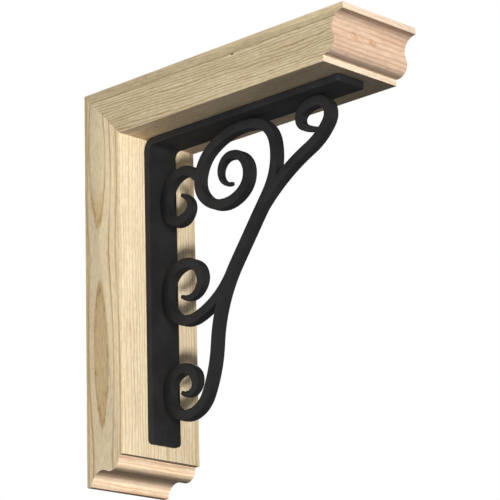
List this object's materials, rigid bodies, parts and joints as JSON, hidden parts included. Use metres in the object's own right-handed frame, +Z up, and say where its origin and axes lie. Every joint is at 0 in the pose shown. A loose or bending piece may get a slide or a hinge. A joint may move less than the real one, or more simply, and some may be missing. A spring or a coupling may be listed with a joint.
{
  "type": "wooden corbel bracket",
  "caption": "Timber corbel bracket: mitred post and beam with ogee ends, a flat iron strap round the inner corner and scrolled iron bars bracing the angle.",
  "frame": {"origin": "centre of the flat back of the post, the face that goes against the wall", "axes": "+Y into the wall, -Y out along the beam, +Z up, +X across the width"},
  "size_m": [0.102, 0.348, 0.397],
  "materials": {
    "timber": "bare planed softwood, matt, pale straw with light brown grain",
    "iron": "near-black satin paint on hand-worked bar"
  },
  "bodies": {
    "root": {"post": "timber", "beam": "timber", "strap": "iron", "brace_bar": "iron", "crown_scroll": "iron", "middle_scroll": "iron", "upper_scroll": "iron"}
  },
  "joints": []
}
